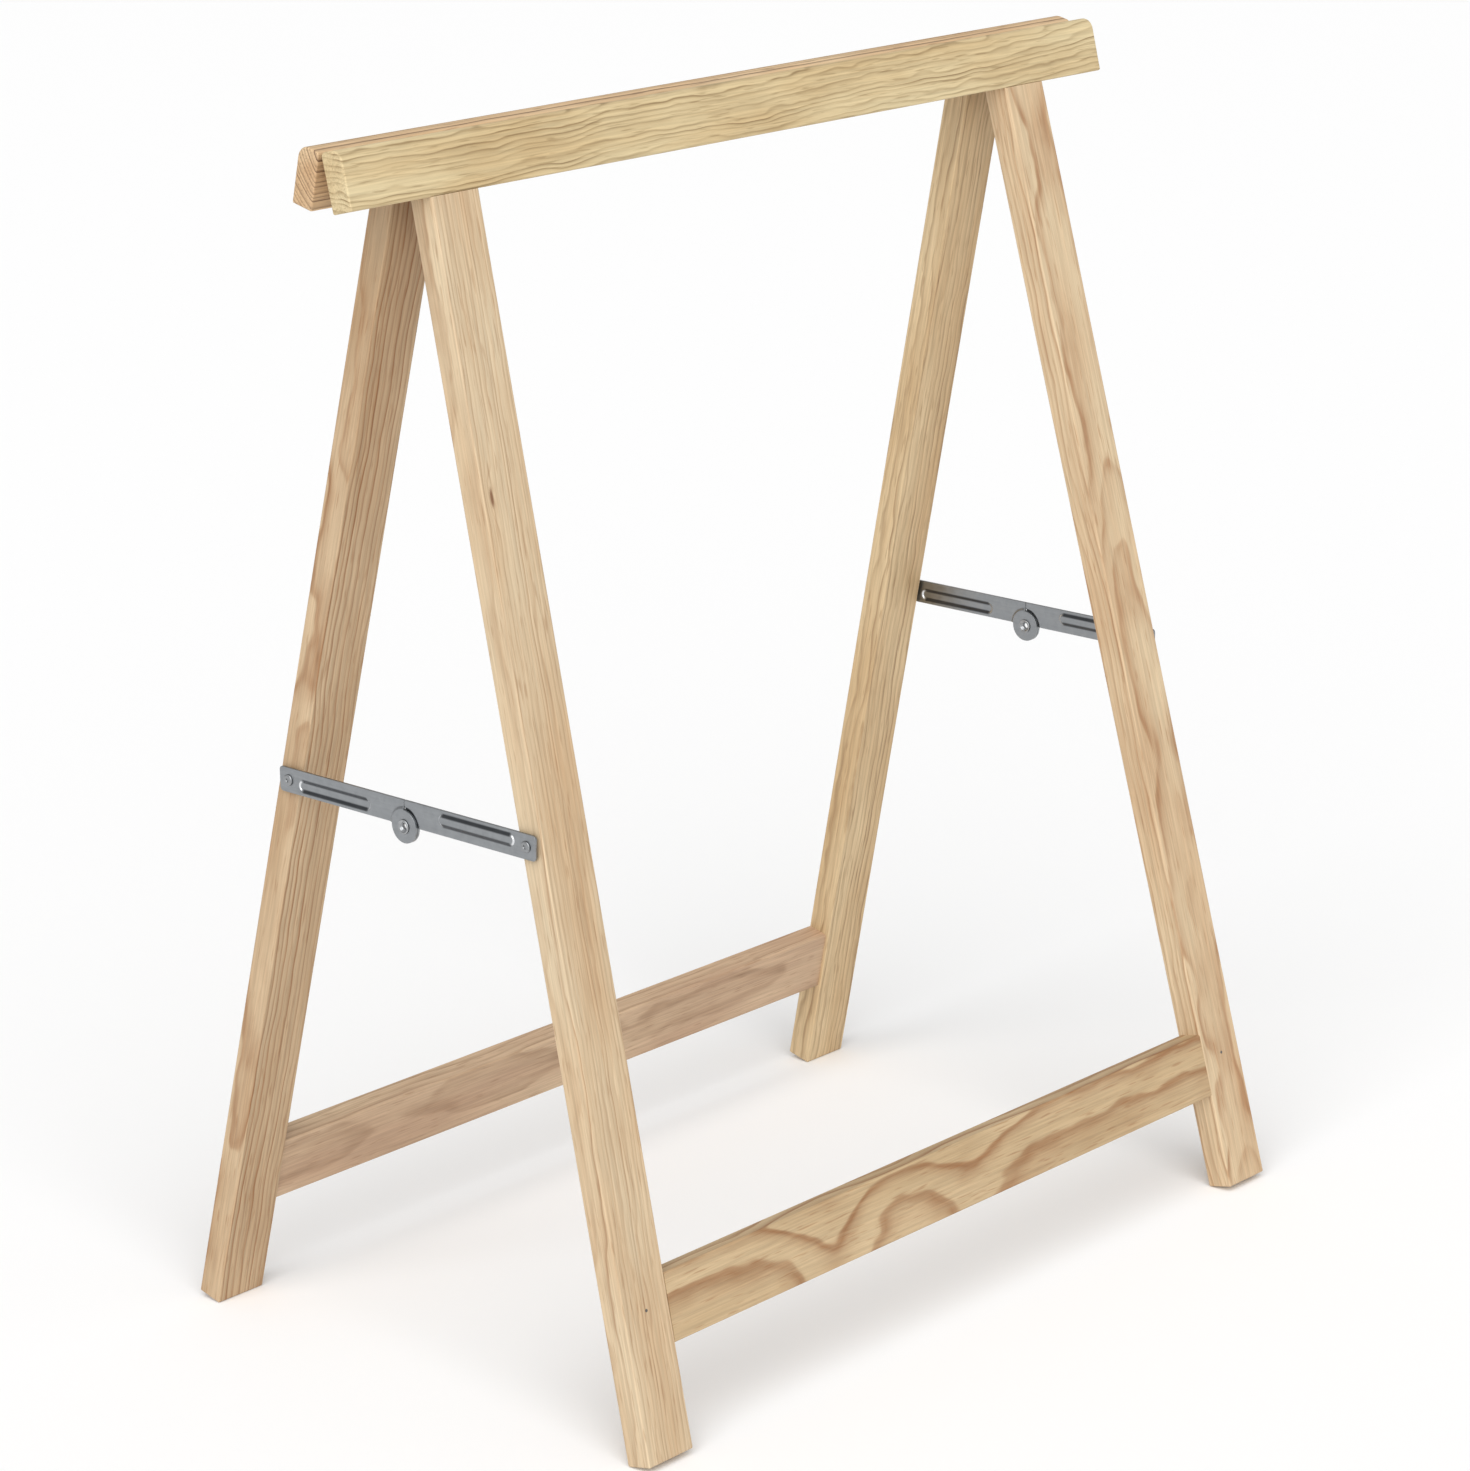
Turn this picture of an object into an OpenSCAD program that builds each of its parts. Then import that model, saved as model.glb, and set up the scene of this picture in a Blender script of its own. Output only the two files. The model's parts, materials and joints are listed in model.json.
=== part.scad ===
// Folding trestle: two pine frames hinged along the top and held open by two
// folding steel stays. +X runs along the beams, the front frame is on -Y, +Z is up,
// and the feet stand on z = 0 below the middle of the beams.

/* [Stance] */
// Length of both top beams
beam_length = 665; // [600:5:760]
// Distance from the hinge line down the frame to the foot
frame_run = 763; // [720:1:820]
// Lean of each frame from upright when the stays are locked, degrees
frame_lean = 13.5; // [12:0.5:15]
// Sideways splay of each leg in its own frame, degrees
leg_splay = 2; // [0:0.5:3]

/* [Top beams] */
// Height of a beam
beam_height = 35; // [32:1:42]
// Thickness of a beam
beam_thickness = 16; // [15:0.5:20]
// Radius along a beam's top outer edge
beam_edge_radius = 7.5; // [3:0.5:9]
// Radius along a beam's top inner edge
beam_inner_radius = 2.5; // [0.5:0.5:4]
// Depth of the hinge line below the top of the beams
hinge_line_depth = 10; // [9:0.5:12]

/* [Legs] */
// Width of a leg, seen from the front
leg_width = 37; // [34:1:44]
// Thickness of a leg, seen from the side
leg_thickness = 18; // [17:0.5:19]
// Distance from the end of a beam to the leg, at the beam's lower edge
leg_inset = 60.7; // [50:0.1:80]

/* [Stretchers] */
// Height of a stretcher
stretcher_height = 42; // [36:1:50]
// Distance from a stretcher's lower edge down to the foot
stretcher_clearance = 63.5; // [50:0.5:120]

/* [Wood joints] */
// Thickness of every tenon
tenon_thickness = 8; // [6:0.5:9]
// Length of every tenon
tenon_length = 22; // [16:1:24]
// Shoulder left on both sides of a tenon
tenon_shoulder = 6; // [4:0.5:8]

/* [Hinges] */
// Length of a hinge
hinge_length = 50; // [40:1:60]
// Distance of a hinge's middle from the middle of the beams
hinge_offset = 165; // [80:1:190]
// Height of a hinge leaf
leaf_height = 22; // [18:0.5:24]
// Thickness of a hinge leaf
leaf_thickness = 2; // [1.5:0.1:2]

/* [Stays] */
// Distance from the hinge line down the frame to a stay's screws
stay_run = 395.5; // [380:0.5:410]
// Distance from the middle of the folded stand out to a stay's screws
stay_screw_offset = 8.5; // [8.5:0.5:11]
// Height of a stay's bar
bar_height = 15.5; // [12:0.5:16]
// Thickness of a stay's bar
bar_thickness = 1.5; // [1.2:0.1:2]
// Distance from a bar's centre line down to the knee rivet
knee_drop = 8.4; // [8.4:0.1:10]
// Radius of a link's ear
ear_radius = 10.25; // [10:0.25:11.5]
// Length of the pressed rib
rib_length = 63; // [50:1:66]
// Width of the pressed rib
rib_width = 8; // [6:0.5:9]
// Distance of the pressed rib from the bar's centre line
rib_offset = 1.7; // [0:0.1:2]

/* [Hidden] */
$fn = 48;

left = -1;
right = 1;
pine = "BurlyWood";
zinc = "Silver";

// Clearances
glue_line = 0.1;
drill_play = 0.03;
running_play = 0.05;
slide_gap = 0.15;
safe_gap = 0.3;

// Extra reach of a shape that cuts or trims another
spare = 40;

// Depths are measured out from the plane midway between the folded frames,
// drops are measured down the frame from the hinge line.
leg_depth = 1.2;
beam_depth = leg_depth + leaf_thickness;
outer_depth = beam_depth + beam_thickness;
beam_top = -hinge_line_depth;
beam_bottom = beam_top + beam_height;
stretcher_bottom = frame_run - stretcher_clearance;
stretcher_top = stretcher_bottom - stretcher_height;
tenon_depth = (beam_depth + outer_depth - tenon_thickness) / 2;
leg_back_depth = outer_depth - leg_thickness;

// The inner edge of each foot stands on the floor
hinge_line_height = frame_run * cos(frame_lean) - leg_back_depth * sin(frame_lean);

leg_top_x = beam_length / 2 - leg_inset - leg_width / 2;
function leg_centre_x(drop) = leg_top_x + (drop - beam_bottom) * tan(leg_splay);
function leg_outer_x(drop) = leg_centre_x(drop) + leg_width / 2;
function leg_inner_x(drop) = leg_centre_x(drop) - leg_width / 2;

// Brads
brad_radius = 1;
brad_length = 15;
brad_below_stretcher_top = 17;
brad_drop = stretcher_top + brad_below_stretcher_top;

// Hinges: the front leaf holds the two end knuckles, the back one the middle knuckle
knuckle_radius = 2.8;
hinge_pin_radius = 1.5;
pin_head_radius = 2.2;
pin_head_length = 0.8;
knuckle_split = hinge_length / 6;
end_knuckles = [
    [-hinge_length / 2, -knuckle_split - slide_gap],
    [knuckle_split + slide_gap, hinge_length / 2]
];
middle_knuckle = [[-knuckle_split + slide_gap, knuckle_split - slide_gap]];
hinge_screw_radius = 1.5;
hinge_screw_head_radius = 3;
hinge_screw_head_length = 1.5;
hinge_screw_length = 13;
hinge_screw_point = 2;
hinge_screw_spots = [[-17, 9], [0, 14], [17, 9]];
recess_length = 3;
recess_width = 0.7;
recess_depth = 0.7;

// Stays
stay_screw_radius = 2;
stay_head_radius = 3.5;
stay_head_length = 1.1;
stay_thread_length = 22;
spacer_radius = 4.5;
spacer_thickness = 1.3;
spacer_lift = 0.2;
bar_corner_radius = 2.5;
butt_gap = 0.2;
rib_height = 0.9;
rib_share = 0.6;
rib_wall = 1;
rivet_radius = 2.5;
rivet_bore_radius = 1.6;
rivet_flange_radius = 4.5;
rivet_flange_length = 0.8;
ear_clear_radius = ear_radius + 0.4;
stay_screw_y = stay_run * sin(frame_lean) + stay_screw_offset * cos(frame_lean);
stay_screw_z = hinge_line_height - stay_run * cos(frame_lean) + stay_screw_offset * sin(frame_lean);
knee_z = stay_screw_z - knee_drop;
bar_end = bar_height / 2;
spacer_face = leg_outer_x(stay_run) + spacer_lift;
bar_face = spacer_face + spacer_thickness + slide_gap;
stay_plane_x = bar_face + bar_thickness / 2;

// ---------- placing ----------

// Both frames are described as the front one, upright, with the hinge line at zero
module front_frame_place() {
    translate([0, 0, hinge_line_height])
        rotate([-frame_lean, 0, 0])
            children();
}

module back_frame_place() {
    translate([0, 0, hinge_line_height])
        rotate([frame_lean, 0, 0])
            mirror([0, 1, 0])
                children();
}

// A block between two places along the beam, two depths and two drops
module block(x_range, depth_range, drop_range) {
    translate([x_range[0], -depth_range[1], -drop_range[1]])
        cube([
            x_range[1] - x_range[0],
            depth_range[1] - depth_range[0],
            drop_range[1] - drop_range[0]
        ]);
}

// A rod along +X that starts at x = 0
module rod_x(radius, length) {
    rotate([0, 90, 0])
        cylinder(r = radius, h = length);
}

// A rod that runs outward from a given depth, at a place along the beam and a drop
module rod_out(x, depth, drop, radius, length) {
    translate([x, -depth, -drop])
        rotate([90, 0, 0])
            cylinder(r = radius, h = length);
}

// ---------- wooden pieces ----------

module leg_axis(side) {
    translate([side * leg_top_x, 0, -beam_bottom])
        rotate([0, -side * leg_splay, 0])
            children();
}

module leg_tenon(side, play) {
    tenon_width = leg_width - 2 * tenon_shoulder + 2 * play;
    leg_axis(side)
        translate([-tenon_width / 2, -tenon_depth - tenon_thickness - play, -tenon_shoulder])
            cube([tenon_width, tenon_thickness + 2 * play, tenon_length + tenon_shoulder + play]);
}

module stretcher_tenon(side, play) {
    reach = leg_inner_x(stretcher_top) + tenon_length + play;
    x_range = side == right ? [leg_inner_x(stretcher_top) - tenon_shoulder, reach]
                            : [-reach, -leg_inner_x(stretcher_top) + tenon_shoulder];
    block(
        x_range,
        [tenon_depth - play, tenon_depth + tenon_thickness + play],
        [stretcher_top + tenon_shoulder - play, stretcher_bottom - tenon_shoulder + play]
    );
}

module stay_screw_spot(side, from_x, length, radius) {
    mirror([side == left ? 1 : 0, 0, 0])
        translate([from_x, -stay_screw_offset, -stay_run])
            rod_x(radius, length);
}

module brad_set(play) {
    for (side = [left, right])
        rod_out(
            side * leg_centre_x(brad_drop),
            outer_depth - brad_length,
            brad_drop,
            brad_radius + play,
            brad_length
        );
}

module hinge_screw_holes() {
    for (side = [left, right])
        for (spot = hinge_screw_spots)
            rod_out(
                side * hinge_offset + spot[0],
                leg_depth,
                spot[1],
                hinge_screw_radius + drill_play,
                hinge_screw_length + drill_play
            );
}

module beam_profile() {
    outer_corner = [-outer_depth + beam_edge_radius, -beam_top - beam_edge_radius];
    inner_corner = [-beam_depth - beam_inner_radius, -beam_top - beam_inner_radius];
    difference() {
        translate([-outer_depth, -beam_bottom])
            square([beam_thickness, beam_height]);
        translate(outer_corner - [spare, 0])
            square(spare);
        translate(inner_corner)
            square(spare);
    }
    translate(outer_corner)
        circle(r = beam_edge_radius);
    translate(inner_corner)
        circle(r = beam_inner_radius);
}

module beam_piece() {
    color(pine)
        difference() {
            translate([-beam_length / 2, 0, 0])
                rotate([90, 0, 90])
                    linear_extrude(beam_length)
                        beam_profile();
            for (side = [left, right])
                leg_tenon(side, glue_line);
            hinge_screw_holes();
        }
}

module leg_piece(side) {
    cut_width = leg_width * cos(leg_splay);
    color(pine)
        difference() {
            union() {
                intersection() {
                    leg_axis(side)
                        translate([-cut_width / 2, -outer_depth, -frame_run - spare])
                            cube([cut_width, leg_thickness, frame_run + 2 * spare]);
                    block(
                        [-beam_length, beam_length],
                        [leg_back_depth - spare, outer_depth + spare],
                        [beam_bottom, frame_run]
                    );
                }
                leg_tenon(side, 0);
            }
            stretcher_tenon(side, glue_line);
            brad_set(drill_play);
            stay_screw_spot(
                side,
                leg_outer_x(stay_run) - stay_thread_length,
                stay_thread_length + spare,
                stay_screw_radius + drill_play
            );
        }
}

module stretcher_piece() {
    color(pine)
        difference() {
            union() {
                translate([0, -beam_depth, 0])
                    rotate([90, 0, 0])
                        linear_extrude(beam_thickness)
                            polygon([
                                [-leg_inner_x(stretcher_top), -stretcher_top],
                                [leg_inner_x(stretcher_top), -stretcher_top],
                                [leg_inner_x(stretcher_bottom), -stretcher_bottom],
                                [-leg_inner_x(stretcher_bottom), -stretcher_bottom]
                            ]);
                for (side = [left, right])
                    stretcher_tenon(side, 0);
            }
            brad_set(drill_play);
        }
}

module brads() {
    color(zinc)
        brad_set(0);
}

// ---------- hinges ----------

module knuckle_rods(stretches, radius, extra) {
    for (stretch = stretches)
        translate([stretch[0] - extra, 0, 0])
            rod_x(radius, stretch[1] - stretch[0] + 2 * extra);
}

module hinge_leaf(side, own, other, pin_play) {
    color(zinc)
        translate([side * hinge_offset, 0, 0])
            difference() {
                union() {
                    block([-hinge_length / 2, hinge_length / 2], [leg_depth, beam_depth], [0, leaf_height]);
                    knuckle_rods(own, knuckle_radius, 0);
                }
                knuckle_rods(other, knuckle_radius + safe_gap, safe_gap);
                translate([-spare, 0, 0])
                    rod_x(hinge_pin_radius + pin_play, 2 * spare);
                for (spot = hinge_screw_spots)
                    translate([spot[0], -leg_depth, -spot[1]])
                        rotate([90, 0, 0])
                            hinge_screw_body(drill_play);
            }
}

module hinge_screw_body(play) {
    cylinder(r = hinge_screw_radius + play, h = hinge_screw_length - hinge_screw_point);
    cylinder(
        r1 = hinge_screw_head_radius + play,
        r2 = hinge_screw_radius + play,
        h = hinge_screw_head_length
    );
}

module cross_recess() {
    for (turn = [0, 90])
        rotate([0, 0, turn])
            translate([-recess_length / 2, -recess_width / 2, 0])
                cube([recess_length, recess_width, recess_depth]);
}

module hinge_screw() {
    difference() {
        union() {
            hinge_screw_body(0);
            translate([0, 0, hinge_screw_length - hinge_screw_point])
                cylinder(r1 = hinge_screw_radius, r2 = hinge_screw_radius / 4, h = hinge_screw_point);
        }
        cross_recess();
    }
}

module hinge_screws(side) {
    color(zinc)
        for (spot = hinge_screw_spots)
            translate([side * hinge_offset + spot[0], -leg_depth, -spot[1]])
                rotate([90, 0, 0])
                    hinge_screw();
}

module hinge_pin(side) {
    pin_length = hinge_length + 2 * slide_gap;
    color(zinc)
        translate([side * hinge_offset, 0, 0]) {
            translate([-pin_length / 2, 0, 0])
                rod_x(hinge_pin_radius, pin_length);
            for (end = [-pin_length / 2 - pin_head_length, pin_length / 2])
                translate([end, 0, 0])
                    rod_x(pin_head_radius, pin_head_length);
        }
}

// ---------- folding stays ----------

// Places a stay's pieces with the knee at the origin
module stay_place(side) {
    translate([side * stay_plane_x, 0, knee_z])
        children();
}

module slab_x(x_range, y_range, z_range) {
    translate([x_range[0], y_range[0], z_range[0]])
        cube([x_range[1] - x_range[0], y_range[1] - y_range[0], z_range[1] - z_range[0]]);
}

module rounded_bar() {
    half = bar_thickness / 2;
    end_y = stay_screw_y + bar_end;
    low = knee_drop - bar_height / 2;
    high = knee_drop + bar_height / 2;
    slab_x([-half, half], [butt_gap, end_y - bar_corner_radius], [low, high]);
    slab_x([-half, half], [butt_gap, end_y], [low + bar_corner_radius, high - bar_corner_radius]);
    for (z = [low + bar_corner_radius, high - bar_corner_radius])
        translate([-half, end_y - bar_corner_radius, z])
            rod_x(bar_corner_radius, bar_thickness);
}

module rib_shape(rib_z, radius, x_start, thickness) {
    rib_middle = stay_screw_y * rib_share;
    reach = rib_length / 2 - rib_width / 2;
    slab_x(
        [x_start, x_start + thickness],
        [rib_middle - reach, rib_middle + reach],
        [rib_z - radius, rib_z + radius]
    );
    for (y = [rib_middle - reach, rib_middle + reach])
        translate([x_start, y, rib_z])
            rod_x(radius, thickness);
}

// One link: its ear is pressed towards -X, its rib towards +X, and its bar runs along +Y
module link_plate(rivet_play, rib_z) {
    half = bar_thickness / 2;
    ear_top = -slide_gap;
    difference() {
        union() {
            difference() {
                rounded_bar();
                translate([ear_top, 0, 0])
                    rod_x(ear_clear_radius, bar_thickness + slide_gap);
            }
            translate([ear_top - bar_thickness, 0, 0])
                rod_x(ear_radius, bar_thickness);
            rib_shape(rib_z, rib_width / 2, 0, half + rib_height);
        }
        rib_shape(
            rib_z,
            rib_width / 2 - rib_wall,
            -bar_thickness,
            bar_thickness + half + rib_height - rib_wall
        );
        translate([-spare, 0, 0])
            rod_x(rivet_radius + rivet_play, 2 * spare);
        translate([-spare, stay_screw_y, knee_drop])
            rod_x(stay_screw_radius + running_play, 2 * spare);
    }
}

module back_link(side) {
    color(zinc)
        stay_place(side)
            link_plate(running_play, knee_drop - rib_offset);
}

// The other way round about the upright through the knee, with its rib above the centre line
module front_link(side) {
    color(zinc)
        stay_place(side)
            rotate([0, 0, 180])
                link_plate(drill_play, knee_drop + rib_offset);
}

// Clinched to the front link's ear, free in the back link's
module knee_rivet(side) {
    outer_face = slide_gap + bar_thickness;
    flange_start = -outer_face - slide_gap - rivet_flange_length;
    flange_end = outer_face + rivet_flange_length;
    color(zinc)
        stay_place(side)
            difference() {
                union() {
                    translate([flange_start, 0, 0])
                        rod_x(rivet_radius, flange_end - flange_start);
                    translate([flange_start, 0, 0])
                        rod_x(rivet_flange_radius, rivet_flange_length);
                    translate([outer_face, 0, 0])
                        rod_x(rivet_flange_radius, rivet_flange_length);
                }
                translate([-spare, 0, 0])
                    rod_x(rivet_bore_radius, 2 * spare);
            }
}

// Puts a screw's axis on the outer side of a leg: end is -1 for the front leg, 1 for the back one
module stay_screw_place(side, end) {
    mirror([side == left ? 1 : 0, 0, 0])
        translate([0, end * stay_screw_y, stay_screw_z])
            children();
}

module stay_screw(start_x) {
    head_start = bar_face + bar_thickness + slide_gap;
    difference() {
        union() {
            translate([start_x, 0, 0])
                rod_x(stay_screw_radius, head_start - start_x + stay_head_length / 2);
            translate([head_start, 0, 0])
                rod_x(stay_head_radius, stay_head_length);
        }
        translate([head_start + stay_head_length - recess_depth, 0, 0])
            rotate([0, 90, 0])
                cross_recess();
    }
}

module spacer(start_x) {
    difference() {
        translate([start_x, 0, 0])
            rod_x(spacer_radius, spacer_face + spacer_thickness - start_x);
        translate([start_x - spare, 0, 0])
            rod_x(stay_screw_radius + running_play, 2 * spare);
    }
}

module front_screw(side) {
    color(zinc)
        stay_screw_place(side, -1)
            stay_screw(leg_outer_x(stay_run) - stay_thread_length);
}

module front_spacer(side) {
    color(zinc)
        stay_screw_place(side, -1)
            spacer(spacer_face);
}

module back_screw(side) {
    color(zinc)
        stay_screw_place(side, 1)
            stay_screw(spacer_face + slide_gap);
}

module back_spacer(side) {
    color(zinc)
        stay_screw_place(side, 1)
            spacer(spacer_face + slide_gap);
}

module back_screw_thread(side) {
    color(zinc)
        stay_screw_place(side, 1)
            translate([leg_outer_x(stay_run) - stay_thread_length, 0, 0])
                rod_x(stay_screw_radius, stay_thread_length - safe_gap);
}

// ---------- nodes ----------

front_frame_place() beam_piece();  // front_beam
front_frame_place() leg_piece(left);  // front_leg_left
front_frame_place() leg_piece(right);  // front_leg_right
front_frame_place() stretcher_piece();  // front_stretcher
front_frame_place() brads();  // front_brads
back_frame_place() beam_piece();  // back_beam
back_frame_place() leg_piece(left);  // back_leg_left
back_frame_place() leg_piece(right);  // back_leg_right
back_frame_place() stretcher_piece();  // back_stretcher
back_frame_place() brads();  // back_brads
front_frame_place() hinge_leaf(left, end_knuckles, middle_knuckle, drill_play);  // front_hinge_leaf_left
front_frame_place() hinge_leaf(right, end_knuckles, middle_knuckle, drill_play);  // front_hinge_leaf_right
back_frame_place() hinge_leaf(left, middle_knuckle, end_knuckles, running_play);  // back_hinge_leaf_left
back_frame_place() hinge_leaf(right, middle_knuckle, end_knuckles, running_play);  // back_hinge_leaf_right
front_frame_place() hinge_pin(left);  // hinge_pin_left
front_frame_place() hinge_pin(right);  // hinge_pin_right
front_frame_place() hinge_screws(left);  // front_hinge_screws_left
front_frame_place() hinge_screws(right);  // front_hinge_screws_right
back_frame_place() hinge_screws(left);  // back_hinge_screws_left
back_frame_place() hinge_screws(right);  // back_hinge_screws_right
front_link(left);  // front_link_left
back_link(left);  // back_link_left
knee_rivet(left);  // knee_rivet_left
front_link(right);  // front_link_right
back_link(right);  // back_link_right
knee_rivet(right);  // knee_rivet_right
front_screw(left);  // front_screw_left
front_spacer(left);  // front_spacer_left
front_screw(right);  // front_screw_right
front_spacer(right);  // front_spacer_right
back_screw(left);  // back_screw_left
back_spacer(left);  // back_spacer_left
back_screw_thread(left);  // back_screw_thread_left
back_screw(right);  // back_screw_right
back_spacer(right);  // back_spacer_right
back_screw_thread(right);  // back_screw_thread_right
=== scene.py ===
import json
import math

import bmesh
import bpy
from mathutils import Matrix, Vector
from mathutils.geometry import delaunay_2d_cdt


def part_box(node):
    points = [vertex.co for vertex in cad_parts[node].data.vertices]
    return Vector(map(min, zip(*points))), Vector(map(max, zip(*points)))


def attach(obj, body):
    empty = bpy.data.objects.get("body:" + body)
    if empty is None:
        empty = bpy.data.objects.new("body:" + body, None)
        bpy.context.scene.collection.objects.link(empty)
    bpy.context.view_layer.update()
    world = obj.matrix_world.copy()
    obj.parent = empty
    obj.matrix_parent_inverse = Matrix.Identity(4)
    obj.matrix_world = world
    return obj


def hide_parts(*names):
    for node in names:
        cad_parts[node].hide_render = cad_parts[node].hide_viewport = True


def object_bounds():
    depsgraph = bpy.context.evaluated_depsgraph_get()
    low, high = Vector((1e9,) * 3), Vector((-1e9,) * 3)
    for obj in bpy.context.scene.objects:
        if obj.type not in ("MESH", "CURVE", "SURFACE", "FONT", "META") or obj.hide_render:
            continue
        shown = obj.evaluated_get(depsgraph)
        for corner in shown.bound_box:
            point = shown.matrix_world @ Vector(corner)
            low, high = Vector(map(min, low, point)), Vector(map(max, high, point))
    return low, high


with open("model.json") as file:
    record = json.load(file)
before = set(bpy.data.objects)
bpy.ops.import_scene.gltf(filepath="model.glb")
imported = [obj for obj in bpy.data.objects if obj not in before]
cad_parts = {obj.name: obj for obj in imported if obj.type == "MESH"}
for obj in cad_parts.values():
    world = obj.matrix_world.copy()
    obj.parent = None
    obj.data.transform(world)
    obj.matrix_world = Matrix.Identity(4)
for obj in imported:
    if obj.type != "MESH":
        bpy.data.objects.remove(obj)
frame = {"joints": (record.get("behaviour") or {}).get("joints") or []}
cad_low, cad_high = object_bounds()

# ---------------------------------------------------------------------------
# Top beams. Two planed pine battens lie side by side and carry the load.
# Each has its top edges rounded over, the outer one more, and two mortises cut
# up from below, and the pair leans apart like the frames they belong to.
# ---------------------------------------------------------------------------

MM = 0.001
fold = next(joint for joint in frame["joints"] if joint["name"] == "fold")
frame_lean = math.radians(fold["range_deg"][1]) / 2
front_place = Matrix.Translation(fold["pos_m"]) @ Matrix.Rotation(-frame_lean, 4, "X")
# In each frame's own upright place X runs along the beams, -Y points outward and 0 is the hinge line
frame_place = {"front": front_place, "back": Matrix.Rotation(math.pi, 4, "Z") @ front_place}
# The two ends of the stand along X
world_sides = {"left": -1, "right": 1}

beam_low, beam_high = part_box("front_beam")
beam_length = beam_high.x - beam_low.x
beam_height = 35 * MM
beam_thickness = 16 * MM
beam_round = 7.5 * MM
beam_inner_round = 2.5 * MM
round_steps = 10
beam_rise = 10 * MM
beam_drop = beam_height - beam_rise
outer_depth = 19.2 * MM
beam_middle_y = beam_thickness / 2 - outer_depth
eased_edge = 1.1 * MM

leg_splay = math.radians(2)
leg_width = 37 * MM
leg_top_x = beam_length / 2 - 60.7 * MM - leg_width / 2
tenon_thickness = 8 * MM
tenon_shoulder = 6 * MM
tenon_length = 22 * MM
glue_line = 0.1 * MM


def new_piece(name, mesh, place):
    piece = bpy.data.objects.new(name, mesh)
    piece.matrix_world = place
    bpy.context.collection.objects.link(piece)
    return piece


def mesh_from(bm):
    mesh = bpy.data.meshes.new("shape")
    bmesh.ops.recalc_face_normals(bm, faces=bm.faces)
    bm.to_mesh(mesh)
    bm.free()
    return mesh


def ease_edges(bm, radius, crisp=lambda edge: False):
    """Rounds the sharp edges, except those for which crisp is true."""
    bmesh.ops.recalc_face_normals(bm, faces=bm.faces)
    least_angle = math.radians(40)
    sharp = [edge for edge in bm.edges if edge.calc_face_angle(0) > least_angle and not crisp(edge)]
    bmesh.ops.bevel(bm, geom=sharp, offset=radius, segments=4, profile=0.5, affect="EDGES")


def extruded(outline, length):
    """A bar along local Z, centred, from an outline in local X and Y."""
    bm = bmesh.new()
    ends = [[bm.verts.new((x, y, z)) for x, y in outline] for z in (-length / 2, length / 2)]
    for i in range(len(outline)):
        j = (i + 1) % len(outline)
        bm.faces.new((ends[0][i], ends[0][j], ends[1][j], ends[1][i]))
    bm.faces.new(ends[0])
    bm.faces.new(ends[1])
    return bm


def block(low, high, low_slant=(0, 0), high_slant=(0, 0)):
    """A block whose ends across local Z may be cut at a slant along X and along Y."""
    bm = bmesh.new()
    ends = []
    for z, slant in ((low[2], low_slant), (high[2], high_slant)):
        corners = ((low[0], low[1]), (high[0], low[1]), (high[0], high[1]), (low[0], high[1]))
        ends.append([bm.verts.new((x, y, z + x * slant[0] + y * slant[1])) for x, y in corners])
    for i in range(4):
        j = (i + 1) % 4
        bm.faces.new((ends[0][i], ends[0][j], ends[1][j], ends[1][i]))
    bm.faces.new(ends[0])
    bm.faces.new(ends[1])
    return bm


def combine(piece, operation, tools):
    """Joins other shapes to a piece, or cuts them out of it. A tool is a shape and its place."""
    helpers = [new_piece("tool", mesh_from(bm), place) for bm, place in tools]
    for helper in helpers:
        step = piece.modifiers.new(operation, "BOOLEAN")
        step.operation = operation
        step.solver = "EXACT"
        step.object = helper
    bpy.context.view_layer.update()
    graph = bpy.context.evaluated_depsgraph_get()
    shaped = bpy.data.meshes.new_from_object(piece.evaluated_get(graph))
    piece.modifiers.clear()
    piece.data = shaped
    for helper in helpers:
        bpy.data.objects.remove(helper)


def finish_piece(piece, material, body, node):
    """Smooths the eased edges, keeps the broad faces flat, gives the piece its material, hangs it on its
    body and hides the CAD part it replaces.
    """
    piece.data.shade_smooth()
    piece.data.set_sharp_from_angle(angle=math.radians(50))
    normals = piece.modifiers.new("flat faces", "WEIGHTED_NORMAL")
    normals.keep_sharp = True
    piece.data.materials.clear()
    piece.data.materials.append(material)
    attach(piece, body)
    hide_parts(node)


def leg_axis(side):
    """The line of a leg down from the middle of its shoulder. side is -1 or 1 along the frame's own X."""
    return Matrix.Translation((side * leg_top_x, 0, -beam_drop)) @ Matrix.Rotation(-side * leg_splay, 4, "Y")


def leg_tenon(play):
    half_width = leg_width / 2 - tenon_shoulder + play
    half_thickness = tenon_thickness / 2 + play
    low = (-half_width, -half_thickness, -tenon_shoulder)
    return block(low, (half_width, half_thickness, tenon_length + play))


def linear_colour(hex_code):
    """An sRGB hex colour as the linear colour that a shader takes."""
    channels = [int(hex_code[i:i + 2], 16) / 255 for i in (1, 3, 5)]
    return tuple(c / 12.92 if c <= 0.04045 else ((c + 0.055) / 1.055) ** 2.4 for c in channels) + (1,)


def add(tree, kind, settings, inputs):
    """Adds a node: settings are its own, and inputs are numbers, colours or other nodes' outputs."""
    made = tree.nodes.new(kind)
    for key, value in settings.items():
        setattr(made, key, value)
    for key, value in inputs.items():
        if isinstance(value, bpy.types.NodeSocket):
            tree.links.new(value, made.inputs[key])
        else:
            made.inputs[key].default_value = value
    return made


def new_material(name):
    material = bpy.data.materials.new(name)
    material.use_nodes = True
    tree = material.node_tree
    tree.nodes.clear()
    shader = add(tree, "ShaderNodeBsdfPrincipled", {}, {})
    add(tree, "ShaderNodeOutputMaterial", {}, {"Surface": shader.outputs[0]})
    return material, tree, shader


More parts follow.
